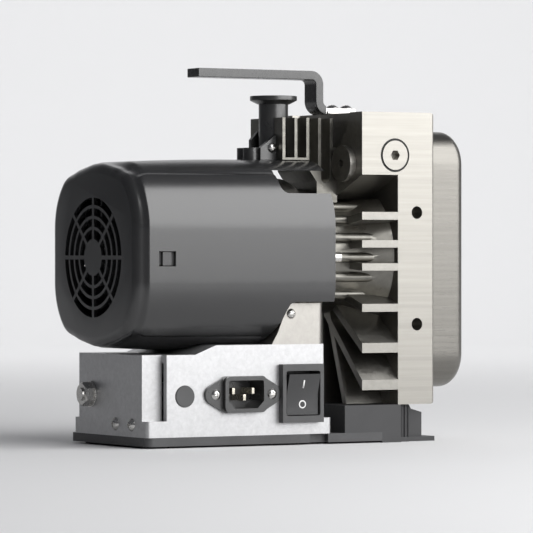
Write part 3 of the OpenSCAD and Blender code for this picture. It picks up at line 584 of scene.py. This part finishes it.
# Wall, and how much further the inner skin stands back near the nose
COWL_WALL_MM = 2.6
COWL_INNER_MM = [(60, 1.2), (12, 2.6), (8, 3.4), (5, 5.5), (2.6, 9.5)]

# Side panels: a step beside the nose that fades towards the pump, and a crease round it
PANEL_X_MM = 6.3
PANEL_HALF_MM = 55.9
PANEL_CORNER_MM = 9.0
STEP_MM = 2.6
STEP_HALF_W_MM = 2.3
STEP_RUN_MM = 96.0
CREASE_MM = 0.5
CREASE_W_MM = 1.3
CREASE_LOSS = 0.6
# The nose also draws in over its corners, by this much, and has lost it by CROWN_RUN_MM.
# It grows and falls between these distances from the middle of the upright side.
CROWN_MM = 3.0
CROWN_RUN_MM = 16.0
CROWN_RISE_MM = (52, 70)
CROWN_FALL_MM = (78, 98)
CROWN_LOSS = 0.8

# Grille: inner and outer radii of its rings of slots, and the spokes between the slots
GRILLE_MM = [(11.5, 17.2), (19.2, 23.9), (25.9, 30.6), (32.6, 37.2)]
SPOKE_MM = 2.5
SPOKES = 8
# Points along a slot's arc: so many, and one more for each so many millimetres of radius
SLOT_POINTS = 4
SLOT_POINT_MM = 5
# How far the slots' cutters start outside the left end and end inside it
SLOT_OUT = 2 * MM
SLOT_IN = 6 * MM
# Latch pockets: distances of their two ends from the left end, the gap under and over the
# clips, and where the cutters start and end, measured from the shaft
LATCH_X_MM = (14.6, 26.4)
LATCH_GAP = 0.4 * MM
LATCH_Y = (40 * MM, 70 * MM)
# Shoulder windows: heights of the lower and upper edge, distance of the left edge from
# the left end, and the radius of the lower left corner
WINDOW_LOW_MM = 157
WINDOW_TOP_MM = 171.6
WINDOW_X_MM = 105.5
WINDOW_CORNER_MM = 5
WINDOW_CORNER_POINTS = 9
# From this distance on, the sides end and only the roof goes on
ROOF_X_MM = 140.5
# Lower edge: distances from the left end and heights, over the two levels of the power box
EDGE_MM = [(41.3, 57.6), (56.1, 63.4), (98.4, 63.4), (102.2, 69.5), (105.4, 77), (107.4, 84),
           (109.2, 88), (112.5, 89.4)]
# Places past the cowl, where cutters start and end
PAST_Y = 80 * MM
PAST_X_MM = 170
PAST_LOW_MM = 30


def crown_inset(x_mm, s):
    """How far the nose draws in over its corners, in millimetres."""
    fade = 1 - smooth_step(CROWN_RUN_MM / 2, CROWN_RUN_MM, x_mm)
    arc = abs(s) / MM
    return CROWN_MM * fade * smooth_step(*CROWN_RISE_MM, arc) * (
        1 - CROWN_LOSS * smooth_step(*CROWN_FALL_MM, arc))


def panel_inset(x_mm, s):
    """How far the skin stands back outside the side panel and in its crease, in millimetres."""
    rise = max(0.0, 1 - (x_mm - NOSE_MM[-1][0]) / STEP_RUN_MM) ** 2
    along = abs(s) / MM - (PANEL_HALF_MM - PANEL_CORNER_MM)
    across = PANEL_X_MM + PANEL_CORNER_MM - x_mm
    outside = math.hypot(max(along, 0), max(across, 0)) + min(max(along, across), 0)
    distance = outside - PANEL_CORNER_MM
    off_panel = smooth_step(-STEP_HALF_W_MM, STEP_HALF_W_MM, distance)
    crease = CREASE_MM * math.exp(-(distance / CREASE_W_MM) ** 2) * (1 - rise * CREASE_LOSS)
    return STEP_MM * rise * off_panel + crease


def nose_inset(x_mm):
    """How far the nose stands back at one of its stations, in millimetres."""
    pairs = zip(NOSE_MM, NOSE_MM[1:])
    (x_a, back_a), (x_b, back_b) = next(pair for pair in pairs if x_mm <= pair[1][0])
    return back_a + (back_b - back_a) * (x_mm - x_a) / (x_b - x_a)


def cowl_inset(x_mm):
    """How far the cowl's skin stands back at a station, as a function of s."""
    if x_mm <= NOSE_MM[-1][0]:
        return lambda s: (nose_inset(x_mm) + crown_inset(x_mm, s)) * MM
    return lambda s: (panel_inset(x_mm, s) + crown_inset(x_mm, s)) * MM


def cowl_stations(length_mm):
    """Distances of the skin's rings from the left end: the nose's own, then a graded row."""
    stations = [x for x, _ in NOSE_MM]
    while True:
        step = next(step for limit, step in STATIONS_MM if stations[-1] < limit)
        if stations[-1] + step >= length_mm:
            return stations + [length_mm]
        stations.append(stations[-1] + step)


def grille_cutter(x0):
    """Rings of slots between spokes of even width, through the cowl's end."""
    bm = bmesh.new()
    pitch = 2 * math.pi / SPOKES
    for low_mm, high_mm in GRILLE_MM:
        low, high = low_mm * MM, high_mm * MM
        inner, outer = (math.asin(SPOKE_MM * MM / 2 / r) for r in (low, high))
        count = SLOT_POINTS + round(high_mm / SLOT_POINT_MM)
        for i in range(SPOKES):
            centre, start = (0, SHAFT_Z), pitch * i
            far = circle_points(centre, high, count, start + outer, pitch - 2 * outer)
            near = circle_points(centre, low, count, start + inner, pitch - 2 * inner)
            prism(bm, far + near[::-1], "x", x0 - SLOT_OUT, x0 + SLOT_IN)
    return bm


def latch_cutter(x0):
    """Pockets in the two sides, over the clips."""
    bm = bmesh.new()
    low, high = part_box("cowl_clips")
    left, right = (x0 + x * MM for x in LATCH_X_MM)
    under, over = low[2] - LATCH_GAP, high[2] + LATCH_GAP
    near, far = LATCH_Y
    for ends in ((-far, -near), (near, far)):
        prism(bm, [(left, under), (right, under), (right, over), (left, over)], "y", *ends)
    return bm


def side_cutter(x0, outline_mm):
    """A cutter that goes right through the cowl from side to side."""
    bm = bmesh.new()
    prism(bm, [(x0 + x * MM, z * MM) for x, z in outline_mm], "y", -PAST_Y, PAST_Y)
    return bm


def cowl_cutters(x0):
    """Grille, latch pockets, shoulder windows and the lower edge, as in the CAD cowl."""
    turn = (WINDOW_X_MM + WINDOW_CORNER_MM, WINDOW_LOW_MM + WINDOW_CORNER_MM)
    bend = circle_points(turn, WINDOW_CORNER_MM, WINDOW_CORNER_POINTS, math.pi, math.pi / 2)
    window = bend + [(ROOF_X_MM, WINDOW_LOW_MM), (ROOF_X_MM, PAST_LOW_MM),
                     (PAST_X_MM, PAST_LOW_MM), (PAST_X_MM, WINDOW_TOP_MM),
                     (WINDOW_X_MM, WINDOW_TOP_MM)]
    edge = EDGE_MM + [(PAST_X_MM, EDGE_MM[-1][1]), (PAST_X_MM, PAST_LOW_MM),
                      (EDGE_MM[0][0], PAST_LOW_MM)]
    return [grille_cutter(x0), latch_cutter(x0), side_cutter(x0, window), side_cutter(x0, edge)]


def make_cowl():
    """The cowl: a thin cup with a drawn-in nose and stepped side panels."""
    x0, x1 = COWL[0][0], COWL[1][0]
    zone = ((PANEL_HALF_MM - COWL_FINE_HALF_MM) * MM, (PANEL_HALF_MM + COWL_FINE_HALF_MM) * MM)
    outline = Outline(COWL[1][1], (COWL[1][2] - COWL[0][2]) / 2, COWL_CORNER, COWL_STEP,
                      COWL_FINE_STEP, zone)
    stations = cowl_stations((x1 - x0) / MM)
    outer = [(x0 + x * MM, cowl_inset(x)) for x in reversed(stations)]
    inner = [(x1, COWL_WALL_MM * MM)] + [(x0 + x * MM, (COWL_WALL_MM + back) * MM)
                                         for x, back in COWL_INNER_MM]
    bm = shell(outline, middle(COWL, 2), outer, inner)
    cowl = piece("fan_cowl_moulding", bm, "charcoal", "pump", ("fan_cowl",))
    cut(cowl, cowl_cutters(x0))
    soften(cowl, COWL_EDGE_MM)


# ---- oil case ----------------------------------------------------------------

CASE_CORNER = 22 * MM
CASE_STEP = 2.2 * MM
CASE_EDGE_MM = 0.3
CASE_WALL = 3.5 * MM
CASE_END_WALL = 7 * MM
# Radius of the large round edge, and the number of steps along it
CASE_ROUND = 8.5 * MM
CASE_ROUND_STEPS = 12
# Rings that keep the flanks flat: next to the rim, and before the round edge
CASE_RIM_RING = 0.5 * MM
CASE_FLANK_RING = 4 * MM
# Slope inside, between the wall and the end wall: along the shaft and across it
CASE_SLOPE_X = 5 * MM
CASE_SLOPE_IN = 6 * MM
# Bores in the end for the glass and plug, and pockets for the heads of the screws
BORE_GAP = 0.1 * MM
BORE_DEPTH = 12 * MM
BORE_POINTS = 64
HEAD_R = 4.7 * MM
HEAD_GAP = 0.2 * MM
HEAD_DEPTH = 5 * MM
HEAD_POINTS = 40


def case_cutter(x1):
    """Bores for the sight glass and the drain plug, and pockets for the screw heads."""
    bm = bmesh.new()
    for name in ("sight_glass", "drain_plug"):
        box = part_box(name)
        radius = (box[1][2] - box[0][2]) / 2 + BORE_GAP
        circle = circle_points((0, middle(box, 2)), radius, BORE_POINTS)
        prism(bm, circle, "x", x1 - BORE_DEPTH, x1 + MM)
    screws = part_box("case_screws")
    low, high = screws
    for y in (low[1] + HEAD_R, high[1] - HEAD_R):
        for z in (low[2] + HEAD_R, middle(screws, 2), high[2] - HEAD_R):
            circle = circle_points((y, z), HEAD_R + HEAD_GAP, HEAD_POINTS)
            prism(bm, circle, "x", x1 - HEAD_DEPTH, x1 + MM)
    return bm


def make_case():
    """A deep-drawn cup with a large round edge, bored for the glass, plug and screws."""
    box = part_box("oil_case")
    x0, x1 = box[0][0], box[1][0]
    outline = Outline(box[1][1], (box[1][2] - box[0][2]) / 2, CASE_CORNER, CASE_STEP)
    turns = [math.pi / 2 * i / CASE_ROUND_STEPS for i in range(CASE_ROUND_STEPS + 1)]
    edge = [(x1 - CASE_ROUND + CASE_ROUND * math.sin(t), CASE_ROUND * (1 - math.cos(t)))
            for t in turns]
    flank = (x0, x0 + CASE_RIM_RING, x1 - CASE_ROUND - CASE_FLANK_RING)
    outer = [(x, 0.0) for x in flank] + edge
    inner_end = x1 - CASE_END_WALL
    inner = [(x0, CASE_WALL), (inner_end - CASE_SLOPE_X, CASE_WALL),
             (inner_end, CASE_WALL + CASE_SLOPE_IN)]
    bm = shell(outline, middle(box, 2), outer, inner)
    case = piece("oil_case_cup", bm, "case", "pump", ("oil_case",))
    cut(case, [case_cutter(x1)])
    soften(case, CASE_EDGE_MM)


# ---- marks on the rocker -----------------------------------------------------

# Outline of the bar, and the outer and inner radius of the ring
BAR_MM = [(-0.5, -2.6), (0.5, -2.6), (0.5, 2.6), (-0.5, 2.6)]
RING_RADII_MM = (2.6, 1.75)
RING_POINTS = 36
# Lower and upper side of the paint, over the rocker's face
PAINT_MM = (0.01, 0.09)
# A polygon faces the front if its normal's y is under FRONT_Y, and it belongs to a flat
# face if the dot product of its normal and the face's is over SAME_FACE
FRONT_Y = -0.7
SAME_FACE = 0.9995


def rocker_face(sign):
    """Centre and normal of the rocker's flat face above (1) or below (-1) its pivot."""
    middle_z = middle(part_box("switch_rocker"), 2)
    half = [f for f in nodes["switch_rocker"].data.polygons
            if f.normal.y < FRONT_Y and (f.center.z - middle_z) * sign > 0]
    normal = Vector(max(half, key=lambda f: f.area).normal)
    flat = [f for f in half if f.normal.dot(normal) > SAME_FACE]
    area = sum(f.area for f in flat)
    return sum((f.center * f.area for f in flat), Vector()) / area, normal


def make_rocker_mark(name, sign, loops_mm):
    """Paint inside one loop, or between two, on the rocker's upper or lower face."""
    centre, normal = rocker_face(sign)
    side = Vector((1, 0, 0))
    up = normal.cross(side)
    bm = bmesh.new()
    rims = []
    for loop in loops_mm:
        points = [centre + side * x * MM + up * y * MM for x, y in loop]
        rims.append([[bm.verts.new(p + normal * h * MM) for p in points] for h in PAINT_MM])
    for rim in rims:
        skin_rows(bm, rim)
    for ends in zip(*rims):
        if len(ends) == 1:
            bm.faces.new(ends[0])
        else:
            skin_rows(bm, ends)
    piece(name, bm, "mark", "rocker")


make_cowl()
make_case()
make_rocker_mark("rocker_mark_bar", 1, [BAR_MM])
make_rocker_mark("rocker_mark_ring", -1,
                 [circle_points((0, 0), radius, RING_POINTS) for radius in RING_RADII_MM])


# ---- stage and light ---------------------------------------------------------

# Floor and wall: how far they reach, how far back they bend up, the bend, the wall's top
STAGE_HALF = 9.0
WALL_BACK = 2.6
WALL_BEND = 0.9
WALL_BEND_STEPS = 24
WALL_TOP = 5.0
# Key light: a leaning plane in front of the pump, turned to the right by KEY_AZIMUTH.
# The foot and head are distance ahead and height.
KEY_AZIMUTH = math.radians(32)
KEY_FOOT = (1.5, 0.12)
KEY_HEAD = (0.72, 1.35)
KEY_WIDTH = 2.2
KEY_RADIANCE = 3.8
# Wall light: distance behind the pump and height, of itself and of what it is aimed at
WALL_LIGHT = (1.9, 2.1)
WALL_LIGHT_AIM = (3.4, 0.0)
WALL_LIGHT_SIZE = (4.5, 1.0)
WALL_LIGHT_RADIANCE = 5.0
SKY_COLOR = (0.9, 0.92, 1.0)
SKY_STRENGTH = 0.12


def backdrop_material():
    """Seamless paper with a barely visible cloud."""
    s = Shader("backdrop_paper", (0.68, 0.68, 0.685), 0.0, 0.9)
    cloud = s.spread(s.noise(900, 2), 0, 1)
    s.color(s.blend(cloud, (0.675, 0.675, 0.68), (0.685, 0.685, 0.69)))
    return s.mat


def make_stage():
    """A pale floor that sweeps up into a wall behind the pump."""
    turns = [math.pi / 2 * i / WALL_BEND_STEPS for i in range(WALL_BEND_STEPS + 1)]
    bend = [(WALL_BACK + WALL_BEND * math.sin(t), WALL_BEND - WALL_BEND * math.cos(t))
            for t in turns]
    profile = [(-STAGE_HALF, 0.0)] + bend + [(WALL_BACK + WALL_BEND, WALL_TOP)]
    across = Vector((AWAY.y, -AWAY.x, 0))
    bm = bmesh.new()
    rows = [[bm.verts.new(AWAY * d + across * side + UP * z) for d, z in profile]
            for side in (-STAGE_HALF, STAGE_HALF)]
    skin_rows(bm, rows, closed=False)
    mesh = bpy.data.meshes.new("floor")
    bm.to_mesh(mesh)
    bm.free()
    mesh.materials.append(backdrop_material())
    mesh.shade_smooth()
    floor = bpy.data.objects.new("floor", mesh)
    bpy.context.scene.collection.objects.link(floor)


def area_light(name, place, aim, size, radiance):
    """A rectangular soft light whose face has the given radiance. No view shows it."""
    data = bpy.data.lights.new(name, "AREA")
    data.shape = "RECTANGLE"
    data.size, data.size_y = size
    data.energy = radiance * math.pi * size[0] * size[1]
    lamp = bpy.data.objects.new(name, data)
    lamp.location = place
    lamp.rotation_euler = (aim - place).to_track_quat("-Z", "Y").to_euler()
    lamp.visible_camera = False
    bpy.context.scene.collection.objects.link(lamp)
    return lamp


def spot_at(heading, distance, height):
    """The point at a distance along a level heading from the origin, and a height."""
    return heading * distance + UP * height


def make_light():
    """A very large soft light leans over the front right, and a smaller one lights the wall."""
    world = bpy.data.worlds.new("studio")
    world.use_nodes = True
    shade = world.node_tree.nodes["Background"]
    shade.inputs["Color"].default_value = (*SKY_COLOR, 1)
    shade.inputs["Strength"].default_value = SKY_STRENGTH
    bpy.context.scene.world = world
    bpy.context.scene.view_settings.view_transform = "Standard"
    ahead = Vector((math.sin(KEY_AZIMUTH), -math.cos(KEY_AZIMUTH), 0))
    foot, head = spot_at(ahead, *KEY_FOOT), spot_at(ahead, *KEY_HEAD)
    centre, lean = (foot + head) / 2, head - foot
    facing = lean.cross(UP.cross(ahead))
    area_light("key_light", centre, centre + facing, (KEY_WIDTH, lean.length), KEY_RADIANCE)
    place, aim = spot_at(AWAY, *WALL_LIGHT), spot_at(AWAY, *WALL_LIGHT_AIM)
    wall_light = area_light("wall_light", place, aim, WALL_LIGHT_SIZE, WALL_LIGHT_RADIANCE)
    wall_light.visible_glossy = False


make_stage()
make_light()
